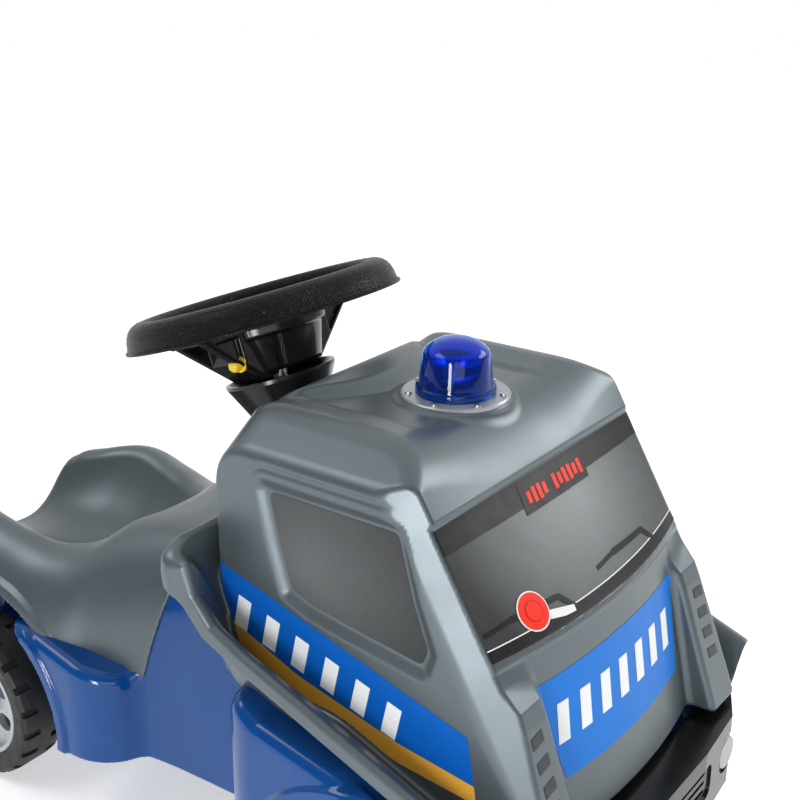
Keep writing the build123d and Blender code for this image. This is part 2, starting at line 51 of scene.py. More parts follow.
# ------------------------------------------------------------------ camera, lamps and room
def look_from(place, turn, tilt, lens, sensor=36, nearest=0.01):
    """The scene's camera, turned from +Y to the left and tilted down."""
    camera = bpy.data.cameras.new("camera")
    camera.lens, camera.sensor_width, camera.clip_start = lens, sensor, nearest
    holder = bpy.data.objects.new("camera", camera)
    bpy.context.scene.collection.objects.link(holder)
    level = math.cos(tilt)
    forward = Vector((-math.sin(turn) * level, math.cos(turn) * level, -math.sin(tilt)))
    holder.location = place
    holder.rotation_euler = forward.to_track_quat("-Z", "Y").to_euler()
    bpy.context.scene.camera = holder


def lamp(name, place, aim, power, size, size_y):
    """A rectangular lamp at a place, aimed at a point."""
    data = bpy.data.lights.new(name, "AREA")
    data.shape, data.energy, data.size, data.size_y = "RECTANGLE", power, size, size_y
    holder = bpy.data.objects.new(name, data)
    holder.location = place
    holder.rotation_euler = (Vector(aim) - Vector(place)).to_track_quat("-Z", "Y").to_euler()
    bpy.context.scene.collection.objects.link(holder)


def studio(toward_light, dim, bright, bright_from):
    """The room: bright on one side, dim on the other, and white where the camera sees past the floor."""
    world = bpy.data.worlds.new("studio")
    bpy.context.scene.world = world
    world.use_nodes = True
    tree = world.node_tree
    room = tree.nodes["Background"]
    toward = tree.nodes.new("ShaderNodeVectorMath")
    toward.operation = "DOT_PRODUCT"
    toward.inputs[1].default_value = toward_light
    tree.links.new(tree.nodes.new("ShaderNodeTexCoord").outputs["Generated"], toward.inputs[0])
    fade = tree.nodes.new("ShaderNodeValToRGB")
    first, last = fade.color_ramp.elements
    first.position, first.color = 0.0, dim
    last.position, last.color = bright_from, bright
    tree.links.new(toward.outputs["Value"], fade.inputs["Fac"])
    tree.links.new(fade.outputs["Color"], room.inputs["Color"])
    room.inputs["Strength"].default_value = 1.0
    white = tree.nodes.new("ShaderNodeBackground")
    white.inputs["Color"].default_value = WHITE
    path = tree.nodes.new("ShaderNodeLightPath")
    choose = tree.nodes.new("ShaderNodeMixShader")
    tree.links.new(path.outputs["Is Camera Ray"], choose.inputs[0])
    tree.links.new(room.outputs[0], choose.inputs[1])
    tree.links.new(white.outputs[0], choose.inputs[2])
    tree.links.new(choose.outputs[0], tree.nodes["World Output"].inputs["Surface"])


look_from((0.692, -0.760, 0.757), math.radians(36.3), math.radians(20.4), 59.04)
lamp("key", (-1.0, -1.1, 2.3), (0.0, 0, 0.35), 15, 1.3, 0.9)
lamp("side_box", (0.8, -2.3, 0.5), (0.15, 0, 0.35), 26, 0.4, 0.8)
lamp("front_fill", (2.0, -1.9, 1.0), (0.05, 0, 0.3), 12, 1.6, 1.2)
lamp("back_box", (1.5, 2.0, 1.6), (0.1, 0, 0.4), 30, 1.8, 0.9)
bpy.context.scene.view_settings.view_transform = "Standard"
studio((-0.35, 0.62, 0.70), (0.13, 0.135, 0.14, 1), WHITE, 0.9)


# ------------------------------------------------------------------ implicit surfaces, in millimetres
def cap(a, b, r):
    """Where both a and b are inside, with a rounded edge."""
    u = np.maximum(r + a, 0)
    v = np.maximum(r + b, 0)
    return np.minimum(-r, np.maximum(a, b)) + np.hypot(u, v)


def join(a, b, r):
    """Where a or b is inside, with a rounded inner corner."""
    return -cap(-a, -b, r)


def cut(a, b, r):
    """Where a is inside and b isn't."""
    return cap(a, -b, r)


def ramp(v, lo, hi):
    """0 at lo, 1 at hi, smooth between."""
    t = np.clip((v - lo) / (hi - lo), 0, 1)
    return t * t * (3 - 2 * t)


def polygon(px, pz, points):
    """Signed distance to a polygon in a plane, negative inside."""
    best = np.full(np.broadcast(px, pz).shape, 1e9)
    inside = np.zeros(best.shape, bool)
    count = len(points)
    for i in range(count):
        ax, az = points[i]
        bx, bz = points[(i + 1) % count]
        ex, ez = bx - ax, bz - az
        wx, wz = px - ax, pz - az
        t = np.clip((wx * ex + wz * ez) / (ex * ex + ez * ez), 0, 1)
        best = np.minimum(best, (wx - ex * t) ** 2 + (wz - ez * t) ** 2)
        if az != bz:
            crosses = ((az > pz) != (bz > pz)) & (px < (bx - ax) * (pz - az) / (bz - az) + ax)
            inside ^= crosses
    return np.where(inside, -1, 1) * np.sqrt(best)


def curve(x, xs, ys):
    """A smooth curve through stations, level with its neighbours' slope at each."""
    xs, ys = np.array(xs, float), np.array(ys, float)
    slopes = np.gradient(ys, xs)
    i = np.clip(np.searchsorted(xs, x) - 1, 0, len(xs) - 2)
    h = xs[i + 1] - xs[i]
    t = np.clip((x - xs[i]) / h, 0, 1)
    return (
        (2 * t**3 - 3 * t**2 + 1) * ys[i] + (t**3 - 2 * t**2 + t) * h * slopes[i]
        + (3 * t**2 - 2 * t**3) * ys[i + 1] + (t**3 - t**2) * h * slopes[i + 1]
    )


def mirrored(f):
    """f(x, |y|, z), for the fields that are given on one side only."""
    return lambda x, y, z: f(x, np.abs(y), z)


def gradient(f, p, e=0.4):
    """Unit outward normals and slope length of f at points p (n, 3)."""
    g = np.empty_like(p)
    for k in range(3):
        d = np.zeros(3)
        d[k] = e
        a, b = p + d, p - d
        g[:, k] = (f(a[:, 0], a[:, 1], a[:, 2]) - f(b[:, 0], b[:, 1], b[:, 2])) / (2 * e)
    size = np.linalg.norm(g, axis=1)
    return g / np.maximum(size, 1e-6)[:, None], size


def turned(points, axes):
    """Points or directions from local axes (forward, left, up) into the model's frame."""
    return np.asarray(points, float) @ np.array(axes, float)


def layers(values, axis):
    """The array without its last layer along an axis, and without its first."""
    first, second = [slice(None)] * 3, [slice(None)] * 3
    first[axis], second[axis] = slice(0, -1), slice(1, None)
    return values[tuple(first)], values[tuple(second)]


def used_only(faces, count):
    """The numbers of the vertices that faces use, and the faces renumbered to them."""
    used = np.unique(faces)
    back = np.full(count, -1)
    back[used] = np.arange(len(used))
    return used, back[faces]


def grid_surface(whole, rows, step):
    """Vertices and quads of the surface whole = 0 on a grid, one vertex in each cell that it passes."""
    shape = tuple(len(a) for a in rows)
    values = whole(*np.meshgrid(*rows, indexing="ij", sparse=True))
    values = np.broadcast_to(values, shape).astype(np.float64)
    cells = [s - 1 for s in shape]
    total = np.zeros((*cells, 3))
    hits = np.zeros(cells)
    # a cell's vertex is the mean of the crossings on its twelve edges
    for axis in range(3):
        a, b = layers(values, axis)
        cross = (a < 0) != (b < 0)
        t = np.where(cross, a / np.where(cross, a - b, 1), 0)
        o1, o2 = [k for k in range(3) if k != axis]
        for i, j in ((0, 0), (0, 1), (1, 0), (1, 1)):
            part = [slice(None)] * 3
            part[o1], part[o2] = slice(i, cells[o1] + i), slice(j, cells[o2] + j)
            crossed, along = cross[tuple(part)], t[tuple(part)]
            hits += crossed
            total[..., axis] += np.where(crossed, along, 0)
            total[..., o1] += np.where(crossed, i, 0)
            total[..., o2] += np.where(crossed, j, 0)
    live = hits > 0
    index = np.full(cells, -1, np.int64)
    index[live] = np.arange(live.sum())
    start = np.array([a[0] for a in rows])
    verts = (np.argwhere(live) + total[live] / hits[live][:, None]) * step + start
    # one quad round each grid edge that the surface crosses, turned to face outwards
    faces = []
    for axis in range(3):
        o1, o2 = [k for k in range(3) if k != axis]
        a, b = layers(values < 0, axis)
        edge = np.argwhere(a != b)
        for o in (o1, o2):
            edge = edge[(edge[:, o] > 0) & (edge[:, o] < shape[o] - 1)]
        quad = []
        for i, j in ((1, 1), (0, 1), (0, 0), (1, 0)):
            c = edge.copy()
            c[:, o1] -= i
            c[:, o2] -= j
            quad.append(index[c[:, 0], c[:, 1], c[:, 2]])
        quad = np.stack(quad, 1)
        flip = a[edge[:, 0], edge[:, 1], edge[:, 2]]
        if axis == 1:
            flip = ~flip
        quad[~flip] = quad[~flip][:, ::-1]
        faces.append(quad)
    return verts, np.concatenate(faces)


def left_half(verts, faces, step):
    """The half with y >= 0, its open edge pulled onto the middle plane, and which vertices are on it."""
    sides = verts[faces][..., 1]
    keep = (sides.max(1) > 1e-3) & (sides.min(1) > -step * 0.75)
    used, faces = used_only(faces[keep], len(verts))
    verts = verts[used]
    ends = np.sort(np.concatenate([faces[:, [k, (k + 1) % 4]] for k in range(4)]), axis=1)
    pairs, number = np.unique(ends, axis=0, return_counts=True)
    rim = np.unique(pairs[number == 1])
    verts[rim, 1] = np.where(np.abs(verts[rim, 1]) < step * 1.6, 0, verts[rim, 1])
    seam = np.abs(verts[:, 1]) < 1e-6
    verts[seam, 1] = 0
    return verts, faces, seam


def skin(f, lo, hi, step, name, axes=None, origin=(0, 0, 0)):
    """A mesh of the surface f = 0 in a box, given for y >= 0 and mirrored, with the field's normals."""
    rows = [np.arange(a, b + step, step) for a, b in zip(lo, hi)]
    rows[1] = np.arange(-step * 1.5, hi[1] + step, step)
    whole = mirrored(f)
    verts, faces = grid_surface(whole, rows, step)
    # pull the vertices onto the surface
    for _ in range(3):
        normal, size = gradient(whole, verts)
        value = whole(verts[:, 0], verts[:, 1], verts[:, 2])
        move = np.clip(value / np.maximum(size, 0.2), -step * 0.5, step * 0.5)
        verts = verts - normal * move[:, None]
    verts, faces, seam = left_half(verts, faces, step)
    normal, _ = gradient(whole, verts)
    normal[seam, 1] = 0
    # add the other half, which shares the seam's vertices
    count = len(verts)
    remap = np.where(seam, np.arange(count), np.arange(count) + count)
    both = np.concatenate([verts, verts * [1, -1, 1]])
    normals = np.concatenate([normal, normal * [1, -1, 1]])
    used, faces = used_only(np.concatenate([faces, remap[faces][:, ::-1]]), len(both))
    both, normals = both[used], normals[used]
    if axes:
        both, normals = turned(both, axes) + np.array(origin), turned(normals, axes)
    piece = solid_mesh(name, both, faces)
    piece.data.normals_split_custom_set_from_vertices(normals.tolist())
    return piece


def solid_mesh(name, verts, faces):
    """An object from points in millimetres, shaded smooth."""
    mesh = bpy.data.meshes.new(name)
    mesh.from_pydata((np.asarray(verts, float) * MM).tolist(), [], [list(map(int, f)) for f in faces])
    mesh.update()
    mesh.shade_smooth()
    obj = bpy.data.objects.new(name, mesh)
    bpy.context.scene.collection.objects.link(obj)
    return obj


def face_outwards(piece):
    """Turn every face of a closed piece to the outside."""
    made = bmesh.new()
    made.from_mesh(piece.data)
    bmesh.ops.recalc_face_normals(made, faces=made.faces)
    made.to_mesh(piece.data)
    made.free()


def lathe(name, profile, axes, origin, segments, flute=None, crease=38):
    """A turned solid from (radius, height) points. flute(turn, radius, height) may move a radius."""
    verts, rings = [], []
    for r, h in profile:
        if r < 1e-6:
            rings.append([len(verts)] * segments)
            verts.append((0, 0, h))
            continue
        rings.append(list(range(len(verts), len(verts) + segments)))
        for k in range(segments):
            t = 2 * math.pi * k / segments
            rr = flute(t, r, h) if flute else r
            verts.append((rr * math.cos(t), rr * math.sin(t), h))
    faces = []
    closed = profile[0][0] > 1e-6
    for i in range(len(rings) if closed else len(rings) - 1):
        upper, lower = rings[i], rings[(i + 1) % len(rings)]
        for k in range(segments):
            n = (k + 1) % segments
            loop = [upper[k], lower[k], lower[n], upper[n]]
            faces.append([v for j, v in enumerate(loop) if v not in loop[:j]])
    piece = solid_mesh(name, turned(verts, axes) + np.array(origin), faces)
    face_outwards(piece)
    piece.data.set_sharp_from_angle(angle=math.radians(crease))
    return piece


# ------------------------------------------------------------------ the cab and its ledge
CAB_REAR, CAB_HALF, CAB_FOOT, ROOF_RIM = 74.0, 146.4, 160, 431.0
SILL, SCREEN_TOP, SCREEN_HALF, LIP = 302.0, 384.0, 136.0, 3.4
SCREEN_AT, SCREEN_LEAN, SCREEN_BOW = (259, 383), 0.58, 0.22
FRONT_SQUARE = 0.83  # turns a distance along x from the leaning front into a distance square to it
CHEEK_INNER, CHEEK_TOP = 104, 303
TRAY_DEPTH, TRAY_STEP, POCKET_DEPTH = 6.4, 2.0, 4.2
BEACON_X, BEACON_SEAT_Z, BEACON_SEAT_R = 185, 422.3, 42.5
SIDE_WINDOW = [
    (125, 380), (237, 379), (249, 333), (261, 300), (257, 288), (198, 296), (162, 302), (144, 309),
    (134, 342),
]
LEDGE_HALF = 188.0
LEDGE = [
    (66, 326), (68, 314), (76, 295), (96, 273), (126, 260), (200, 232), (300, 194), (352, 172), (358, 186),
    (302, 207), (203, 245), (132, 272), (105, 285), (88, 304), (82, 326),
]
LEDGE_INNER = 126
WING_REAR, WING_FRONT, WING_TOP, WING_FOOT = 59.5, 70.5, 338, 300
SHELL_FOOT = [(50, 224), (92, 220), (114, 208), (200, 192), (348, 142), (348, 120), (50, 120)]
CHEEK_Z = [150, 199, 260, 272, 286, 302]
CHEEK_X = [371, 354, 333, 328, 315, 303]
SHELL_WALL, WALL_EDGE, FOOT_EDGE = 6.5, 0.6, 0.8


def screen_x(z, y):
    """The windscreen's face: it bows forward at the middle, more towards the sill."""
    bow = SCREEN_BOW * (1 - np.clip(y / SCREEN_HALF, 0, 1) ** 2)
    return SCREEN_AT[0] + (SCREEN_AT[1] - z) * (SCREEN_LEAN + bow)


def front_x(z, y):
    """The cab's front face: screen, the lip round it, and the panel below the sill."""
    past_screen = np.maximum(np.maximum(y - SCREEN_HALF, z - SCREEN_TOP), SILL - z)
    lip = LIP * ramp(past_screen, -0.8, 5.4)
    below = SILL - z
    above = screen_x(np.maximum(z, SILL), y)
    panel = np.where(below > 0, 0.22 * below - 4 * np.clip(below / 7, 0, 1), 0)
    return above + lip + panel


def cheek(x, y, z):
    """Where the front stands forward at its corners."""
    face = (x - np.interp(z, CHEEK_Z, CHEEK_X)) * 0.94
    return cap(cap(face, CHEEK_INNER - y, 5), z - CHEEK_TOP, 4)


def cab_body(x, y, z):
    """The cab without its ledge, as a solid with window pockets, cheeks and a tray in the roof."""
    front = join((x - front_x(z, y)) * FRONT_SQUARE, cheek(x, y, z), 6)
    # the roof's shallow tray between raised shoulders, open to the brow
    tray = (1 - ramp(y, 68, 116)) * TRAY_DEPTH + (1 - ramp(y, 70, 79)) * TRAY_STEP
    back = 139 - 35 * (np.minimum(y, 90) / 75) ** 2
    tray = tray * ramp(x, back - 16, back + 5) * (1 - ramp(x, 192, 228))
    top = z - (ROOF_RIM - tray)
    # the slopes from roof to side, and from screen to side
    shoulder = 0.542 * (y - 110) + 0.840 * (z - ROOF_RIM)
    pillar = 0.447 * ((x - screen_x(z, y)) * FRONT_SQUARE) + 0.894 * (y - 146) + 8.94
    window = polygon(x, z, SIDE_WINDOW)
    sunk = POCKET_DEPTH * (1 - ramp(window, 0.5, 11.5))
    crease = 1.0 * (1 - ramp(np.abs(window - 18), 0, 4.5)) * ramp(z, 376, 388)
    side = y - CAB_HALF + sunk + crease
    brow_r = 44 - 20 * ramp(y, 30, 140)
    body = cap(top, front, brow_r)
    for face, radius in ((shoulder, 9), (side, 7), (pillar, 2.4), (CAB_REAR - x, 6)):
        body = cap(body, face, radius)
    body = cap(body, cap(CAB_REAR - x, cap(top, shoulder, 9), 34), 4)
    # a raised seat under the beacon's ring
    beacon_seat = cap(np.hypot(x - BEACON_X, y) - BEACON_SEAT_R, z - BEACON_SEAT_Z, 1.5)
    beacon_seat = cap(beacon_seat, 404 - z, 2)
    return cap(join(body, beacon_seat, 7), CAB_FOOT - z, 4)


def ledge(x, y, z):
    """The cab's foot: a rim curving down and forward, a trough inside it, and a wing behind."""
    drop = 60 * ramp(x, 60, 88) - 10 * ramp(x, 92, 128) - 16 * ramp(x, 130, 200)
    level = z + drop * (1 - ramp(y, 144, 183))
    block = cap(polygon(x, level, LEDGE) - 1.5, y - LEDGE_HALF, 5.5)
    under = WING_FOOT - (z + 60 * (1 - ramp(y, 144, 186)))
    outline = cap(z - WING_TOP, y - LEDGE_HALF, 24)
    wing = cap(cap(outline, cap(x - WING_FRONT, WING_REAR - x, 3), 4), under, 5)
    return cap(join(block, wing, 14), LEDGE_INNER - y, 4)


def shell(x, y, z):
    """The cab and its ledge, hollow and open below."""
    body = cab_body(x, y, z)
    f = cut(join(body, ledge(x, y, z), 7), body + SHELL_WALL, WALL_EDGE)
    return cut(f, np.maximum(polygon(x, z, SHELL_FOOT), y - 184), FOOT_EDGE)


# ------------------------------------------------------------------ the seat
# station: X, crest half width, crest height, middle height, skirt half width
SEAT = np.array([
    (-392, 40, 116, 116, 96), (-378, 46, 132, 132, 110), (-364, 50, 162, 154, 122),
    (-352, 55, 204, 168, 132), (-336, 61, 220, 172, 139), (-312, 69, 228, 174, 145),
    (-268, 87, 236, 173, 150), (-222, 85, 228, 173, 150), (-178, 75, 223, 182, 146),
    (-145, 58, 231, 208, 138), (-118, 34, 252, 250, 124), (-82, 27, 262, 264, 114),
    (-42, 28, 266, 268, 108), (-2, 32, 271, 273, 106), (38, 38, 277, 279, 105), (80, 44, 283, 285, 104),
], float)
SEAT_REAR, SEAT_FRONT, SKIRT_Z, CREST_RISE = -386, 78.5, 100, 2.5
SEAT_FOOT = [
    (-400, 104), (-378, 110), (-346, 148), (-300, 164), (-165, 164), (-60, 142), (-40, 226), (100, 226),
    (100, 90), (-400, 90),
]
WHEEL_REAR_X, WHEEL_FRONT_X, WHEEL_Z = -240.0, 235, 75.0
SEAT_ARCH_R, SEAT_ARCH_LIP, ARCH_DEPTH = 117.0, 121, 92


def seat_outer(x, y, z):
    """The saddle as a solid: a pan between two crests, and skirts bent from the crests down."""
    crest_y, crest_z, mid_z, skirt = (curve(x, SEAT[:, 0], SEAT[:, k]) for k in range(1, 5))
    pan = z - (mid_z + (crest_z + CREST_RISE - mid_z) * (y / crest_y) ** 2.4)
    along = (curve(x + 1, SEAT[:, 0], SEAT[:, 2]) - curve(x - 1, SEAT[:, 0], SEAT[:, 2])) / 2
    # both fields are divided by their slopes, so that they read as distances
    pan = pan / np.hypot(np.hypot(1, along), 2.4 * (crest_z - mid_z) / crest_y * (y / crest_y) ** 1.4)
    u = np.maximum(y - crest_y, 0) / (skirt - crest_y)
    v = np.maximum(z - SKIRT_Z, 0) / (crest_z + CREST_RISE - SKIRT_Z)
    g = (u ** 2.3 + v ** 2.3 + 1e-9) ** (1 / 2.3)
    slope = np.hypot(u ** 1.3 / (skirt - crest_y), v ** 1.3 / (crest_z - SKIRT_Z)) / g ** 1.3
    side = (g - 1) / np.maximum(slope, 1 / 150) / np.hypot(1, 0.8 * along * v)
    f = cap(cap(pan, side, 9), SEAT_REAR - x, 9)
    return cap(f, x - SEAT_FRONT, 1)


def seat(x, y, z):
    """The saddle, hollow and open below, with the rear wheels' arches and a raised lip round each."""
    outer = seat_outer(x, y, z)
    arch = np.hypot(x - WHEEL_REAR_X, z - WHEEL_Z)
    lip = 3.2 * (1 - ramp(np.abs(arch - SEAT_ARCH_LIP), 3, 8)) * ramp(y, 96, 112)
    outer = outer - lip
    f = cut(outer, outer + SHELL_WALL + lip, WALL_EDGE)
    f = cut(f, polygon(x, z, SEAT_FOOT), FOOT_EDGE)
    return cut(f, cap(arch - SEAT_ARCH_R, ARCH_DEPTH - y, 1), FOOT_EDGE)


# ------------------------------------------------------------------ printed films, each a thin closed piece
FILM_GRID, FILM_THICK = 4.0, 0.5
LEAST_SLOPE, LONGEST_MOVE = 0.3, 3


def rounded(points, radius, count=5):
    """The outline with each corner rounded in count steps."""
    out = []
    total = len(points)
    for i in range(total):
        p, q, r = (np.array(points[(i + k) % total], float) for k in (-1, 0, 1))
        a, b = (p - q) / np.linalg.norm(p - q), (r - q) / np.linalg.norm(r - q)
        turn = math.acos(float(np.clip(a @ b, -1, 1)))
        reach = min(radius / math.tan(turn / 2), 0.45 * np.linalg.norm(p - q), 0.45 * np.linalg.norm(r - q))
        for k in range(count + 1):
            t = k / count
            out.append((1 - t) ** 2 * (q + a * reach) + 2 * t * (1 - t) * q + t * t * (q + b * reach))
    return out


def ring(cx, cz, radius, squeeze, count=40):
    """A circle's outline, its second coordinate squeezed by the slope it lies on."""
    turns = [2 * math.pi * k / count for k in range(count)]
    return [(cx + radius * math.cos(t), cz + radius * math.sin(t) * squeeze) for t in turns]


def onto(points, field, axis, rounds=5):
    """Points moved along one axis onto the surface, with its normals there."""
    whole = mirrored(field)
    for _ in range(rounds):
        normal, size = gradient(whole, points)
        value = whole(points[:, 0], points[:, 1], points[:, 2])
        slope = normal[:, axis] * np.maximum(size, LEAST_SLOPE)
        least = np.where(slope < 0, -LEAST_SLOPE, LEAST_SLOPE)
        slope = np.where(np.abs(slope) < LEAST_SLOPE, least, slope)
        points[:, axis] -= np.clip(value / slope, -LONGEST_MOVE, LONGEST_MOVE)
    return points, gradient(whole, points)[0]


def film(name, outline, place, material, lift=0.3, axis=0):
    """A film on the cab with the outline (u, v). place(u, v) puts it near, and it moves along axis."""
    grid = FILM_GRID
    edge = []
    for i in range(len(outline)):
        p, q = np.array(outline[i], float), np.array(outline[(i + 1) % len(outline)], float)
        parts = max(1, int(np.linalg.norm(q - p) / grid))
        edge += [p + (q - p) * k / parts for k in range(parts)]
    edge = np.array(edge)
    lo, hi = edge.min(0), edge.max(0)
    gu, gv = np.meshgrid(np.arange(lo[0] + grid / 2, hi[0], grid), np.arange(lo[1] + grid / 2, hi[1], grid))
    inner = np.stack([gu.ravel(), gv.ravel()], 1)
    inner = inner[polygon(inner[:, 0], inner[:, 1], [tuple(p) for p in edge]) < -grid * 0.35]
    flat = [Vector(p) for p in np.concatenate([edge, inner]).tolist()]
    found = delaunay_2d_cdt(flat, [], [list(range(len(edge)))], 1, 1e-5)
    uv = np.array([tuple(p) for p in found[0]])
    points, normal = onto(place(uv[:, 0], uv[:, 1]), cab_body, axis)
    count = len(uv)
    faces = [list(f) for f in found[2]]
    sides = dict.fromkeys((f[k], f[(k + 1) % len(f)]) for f in faces for k in range(len(f)))
    rim = [(a, b) for a, b in sides if (b, a) not in sides]
    verts = np.concatenate([points + normal * lift, points + normal * (lift - FILM_THICK)])
    faces += [[v + count for v in reversed(f)] for f in faces]
    faces += [[b, a, a + count, b + count] for a, b in rim]
    piece = solid_mesh(name, verts, faces)
    face_outwards(piece)
    piece.data.normals_split_custom_set_from_vertices(np.concatenate([normal, -normal]).tolist())
    piece.data.materials.append(material)
    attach(piece, "chassis")


def on_screen(y, z):
    """Points near the windscreen for a film to start from."""
    return np.stack([screen_x(z, np.abs(y)), y, z], 1)


def on_front(y, z):
    """Points near the front panel."""
    return np.stack([front_x(z, np.abs(y)), y, z], 1)


def on_cheek(y, z):
    """Points near the cheeks."""
    return np.stack([np.interp(z, CHEEK_Z, CHEEK_X), y, z], 1)


def on_side(sign):
    """A function for points near the left side (1) or the right side (-1)."""
    return lambda x, z: np.stack([x, np.full_like(x, sign * CAB_HALF), z], 1)


# ------------------------------------------------------------------ materials
PRINT_SPECULAR = 0.15  # low, so that the lamps don't wash the prints out


class Finish:
    """A node material on object coordinates, in metres."""

    def __init__(self, name, rough, **sockets):
        self.material = bpy.data.materials.new(name)
        self.material.use_nodes = True
        self.tree = self.material.node_tree
        self.shader = self.tree.nodes["Principled BSDF"]
        self.place = self.node("ShaderNodeTexCoord").outputs["Object"]
        self.shader.inputs["Roughness"].default_value = rough
        for key, value in sockets.items():
            self.shader.inputs[key.replace("_", " ")].default_value = value

    def node(self, kind, **settings):
        made = self.tree.nodes.new(kind)
        for key, value in settings.items():
            setattr(made, key, value)
        return made

    def link(self, source, target):
        self.tree.links.new(source, target)
        return self

    def noise(self, scale, detail, stretch=None):
        """A noise value, centred on a half."""
        made = self.node("ShaderNodeTexNoise")
        made.inputs["Scale"].default_value = scale
        made.inputs["Detail"].default_value = detail
        made.inputs["Roughness"].default_value = 0.5
        place = self.place
        if stretch:
            mapping = self.node("ShaderNodeMapping")
            mapping.inputs["Scale"].default_value = stretch
            self.link(place, mapping.inputs["Vector"])
            place = mapping.outputs["Vector"]
        self.link(place, made.inputs["Vector"])
        return made.outputs["Fac"]

    def math(self, operation, a, b=0.0, clamp=False):
        made = self.node("ShaderNodeMath", operation=operation, use_clamp=clamp)
        for slot, value in zip(made.inputs, (a, b)):
            if isinstance(value, (int, float)):
                slot.default_value = value
            else:
                self.link(value, slot)
        return made.outputs[0]

    def spread(self, value, lo, hi, out_lo=0.0, out_hi=1.0):
        made = self.node("ShaderNodeMapRange")
        self.link(value, made.inputs["Value"])
        for key, number in (("From Min", lo), ("From Max", hi), ("To Min", out_lo), ("To Max", out_hi)):
            made.inputs[key].default_value = number
        return made.outputs["Result"]

    def colours(self, value, *stops):
        """The base colour from a value, through stops (position, (r, g, b))."""
        made = self.node("ShaderNodeValToRGB")
        points = made.color_ramp.elements
        while len(points) < len(stops):
            points.new(0.5)
        for point, (position, colour) in zip(points, stops):
            point.position, point.color = position, (*colour, 1)
        self.link(value, made.inputs["Fac"])
        self.link(made.outputs["Color"], self.shader.inputs["Base Color"])
        return self

    def roughness(self, value, lo, hi):
        return self.link(self.spread(value, 0.3, 0.7, lo, hi), self.shader.inputs["Roughness"])

    def bump(self, value, strength, distance):
        made = self.node("ShaderNodeBump")
        made.inputs["Strength"].default_value = strength
        made.inputs["Distance"].default_value = distance
        self.link(value, made.inputs["Height"])
        previous = self.shader.inputs["Normal"].links
        if previous:
            self.link(previous[0].from_socket, made.inputs["Normal"])
        return self.link(made.outputs["Normal"], self.shader.inputs["Normal"])


def near(colour, shift):
    """The colour made lighter, or darker below 0, by a share of itself."""
    return tuple(max(0.0, c * (1 + shift)) for c in colour)


def plastic(name, colour, rough, vary=0.08, grain=0.00006, grain_scale=1400, **sockets):
    """Moulded plastic: faint clouds of colour and a fine grain."""
    made = Finish(name, rough, **sockets)
    made.colours(made.noise(14, 5), (0.35, near(colour, -vary)), (0.65, near(colour, vary)))
    made.roughness(made.noise(40, 4), rough * 0.86, rough * 1.14)
    made.bump(made.noise(grain_scale, 2), 0.35, grain)
    return made.material


def shell_finish():
    """Satin silver-grey plastic with fine flakes and a soft moulded grain."""
    made = Finish("grey_shell", 0.36, Metallic=0.5, Coat_Weight=0.15, Coat_Roughness=0.25)
    flakes = made.math("MULTIPLY", made.noise(2600, 1), 0.35)
    value = made.math("ADD", made.math("MULTIPLY", made.noise(6, 4), 0.65), flakes)
    made.colours(value, (0.3, (0.090, 0.112, 0.124)), (0.7, (0.115, 0.142, 0.157)))
    made.roughness(made.noise(22, 5), 0.33, 0.40)
    made.bump(made.noise(900, 2), 0.25, 0.00005)
    made.bump(made.noise(16, 1), 0.12, 0.0012)
    return made.material


def film_with_painted_reflection(name, centre, reach, light, dark, stretch):
    """Dark printed film with a painted reflection: lighter in the middle, darker towards its ends."""
    rough = 0.28
    made = Finish(name, rough, Specular_IOR_Level=PRINT_SPECULAR)
    mapping = made.node("ShaderNodeMapping", vector_type="POINT")
    mapping.inputs["Location"].default_value = [-c * s for c, s in zip(centre, stretch)]
    mapping.inputs["Scale"].default_value = stretch
    made.link(made.place, mapping.inputs["Vector"])
    length = made.node("ShaderNodeVectorMath", operation="LENGTH")
    made.link(mapping.outputs["Vector"], length.inputs[0])
    # painted reflection: the film is lightest at its centre and fades to its dark print at the ends
    fade = made.spread(length.outputs["Value"], 0.0, reach)
    value = made.math("ADD", fade, made.math("MULTIPLY", made.noise(1500, 2), 0.05), clamp=True)
    between = tuple((a + 1.3 * b) / 2.3 for a, b in zip(light, dark))
    made.colours(value, (0.0, light), (0.55, between), (1.0, dark))
    made.roughness(made.noise(60, 3), rough * 0.85, rough * 1.15)
    made.bump(made.noise(30, 2), 0.1, 0.0004)
    return made.material


def print_finish(name, colour):
    """Printed film in one ink, faintly mottled."""
    rough = 0.34
    made = Finish(name, rough, Specular_IOR_Level=PRINT_SPECULAR)
    made.colours(made.noise(900, 2), (0.3, near(colour, -0.05)), (0.7, near(colour, 0.05)))
    made.roughness(made.noise(60, 3), rough * 0.85, rough * 1.15)
    made.bump(made.noise(30, 2), 0.08, 0.0004)
    return made.material


def glossy_body():
    """Glossy blue plastic with slow waves."""
    made = Finish("blue_body", 0.18, Coat_Weight=0.2, Coat_Roughness=0.05, Specular_IOR_Level=0.3)
    made.colours(made.noise(7, 4), (0.3, (0.001, 0.045, 0.19)), (0.7, (0.0015, 0.058, 0.24)))
    made.roughness(made.noise(30, 4), 0.1, 0.16)
    made.bump(made.noise(26, 2), 0.1, 0.0007)
    return made.material


def leather_grain(name, colour, rough, scale, depth):
    """Coarse moulded grain, as on a steering wheel's rim, with painted shade in its grooves and painted
    light on its tops.
    """
    made = Finish(name, rough, Specular_IOR_Level=0.15)
    cells = made.node("ShaderNodeTexVoronoi", feature="DISTANCE_TO_EDGE")
    cells.inputs["Scale"].default_value = scale
    made.link(made.place, cells.inputs["Vector"])
    ridge = made.spread(cells.outputs["Distance"], 0.0, 0.18)
    # painted shade and light: the colour follows the grain's height, darker in the grooves and lighter on
    # the tops
    made.colours(ridge, (0.0, near(colour, -0.35)), (1.0, near(colour, 0.25)))
    made.roughness(made.noise(300, 3), rough * 0.85, rough * 1.2)
    made.bump(ridge, 0.7, depth)
    made.bump(made.noise(1800, 2), 0.3, 0.00008)
    return made.material


